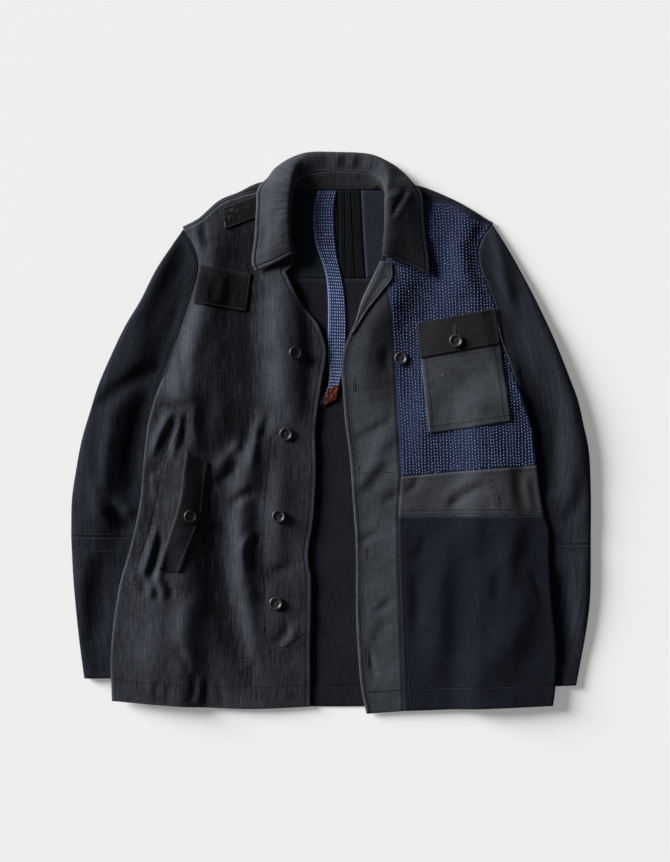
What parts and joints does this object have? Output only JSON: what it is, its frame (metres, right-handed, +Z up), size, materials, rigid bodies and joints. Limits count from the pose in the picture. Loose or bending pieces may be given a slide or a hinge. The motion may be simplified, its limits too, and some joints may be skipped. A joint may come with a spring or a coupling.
{
  "type": "patched boro work jacket laid flat",
  "caption": "Patched work jacket lying open on its back: pieced fronts, stitched indigo panel, patches, flapped pockets, turned collar and tucked sleeves",
  "frame": {"origin": "on the floor under the middle of the whole jacket's box", "axes": "+Y runs from hem to collar, +X towards the wearer's left front, +Z up from the surface the jacket lies on"},
  "size_m": [0.7282, 0.7869, 0.0271],
  "materials": {
    "striped_cloth": "matte charcoal cotton with a fine slub stripe",
    "sleeve_cloth": "matte blue-black striped cotton",
    "placket_cloth": "matte washed charcoal twill",
    "sashiko_cloth": "matte indigo cotton with pale running stitches",
    "navy_cloth": "matte plain navy cotton",
    "patch_cloth": "matte black woven cotton",
    "lining_side_cloth": "matte dark inside of the back",
    "tab_cloth": "matte orange and dark woven tape",
    "button_plastic": "satin dark grey",
    "mottled_button_plastic": "satin dark mottled brown"
  },
  "bodies": {
    "root": {"back_lower": "lining_side_cloth", "back_upper_right": "lining_side_cloth", "back_centre_strip": "placket_cloth", "back_upper_left": "lining_side_cloth", "inner_strap": "sashiko_cloth", "strap_end_tab": "tab_cloth", "right_front": "striped_cloth", "left_placket": "placket_cloth", "left_front_sashiko": "sashiko_cloth", "left_front_band": "placket_cloth", "left_front_lower": "navy_cloth", "yoke_right": "striped_cloth", "yoke_left": "sleeve_cloth", "shoulder_patch": "patch_cloth", "chest_patch": "patch_cloth", "chest_pocket": "placket_cloth", "chest_pocket_flap": "patch_cloth", "welt_flap": "striped_cloth", "left_lapel_facing": "placket_cloth", "sleeve_right_upper": "sleeve_cloth", "sleeve_right_lower": "sleeve_cloth", "sleeve_left_upper": "sleeve_cloth", "sleeve_left_lower": "sleeve_cloth", "collar_stand": "striped_cloth", "collar_leaf": "striped_cloth", "button_front_1": "button_plastic", "button_front_2": "button_plastic", "button_front_3": "button_plastic", "button_front_4": "button_plastic", "button_loop": "button_plastic", "button_pocket": "button_plastic", "button_welt": "mottled_button_plastic"}
  },
  "joints": []
}
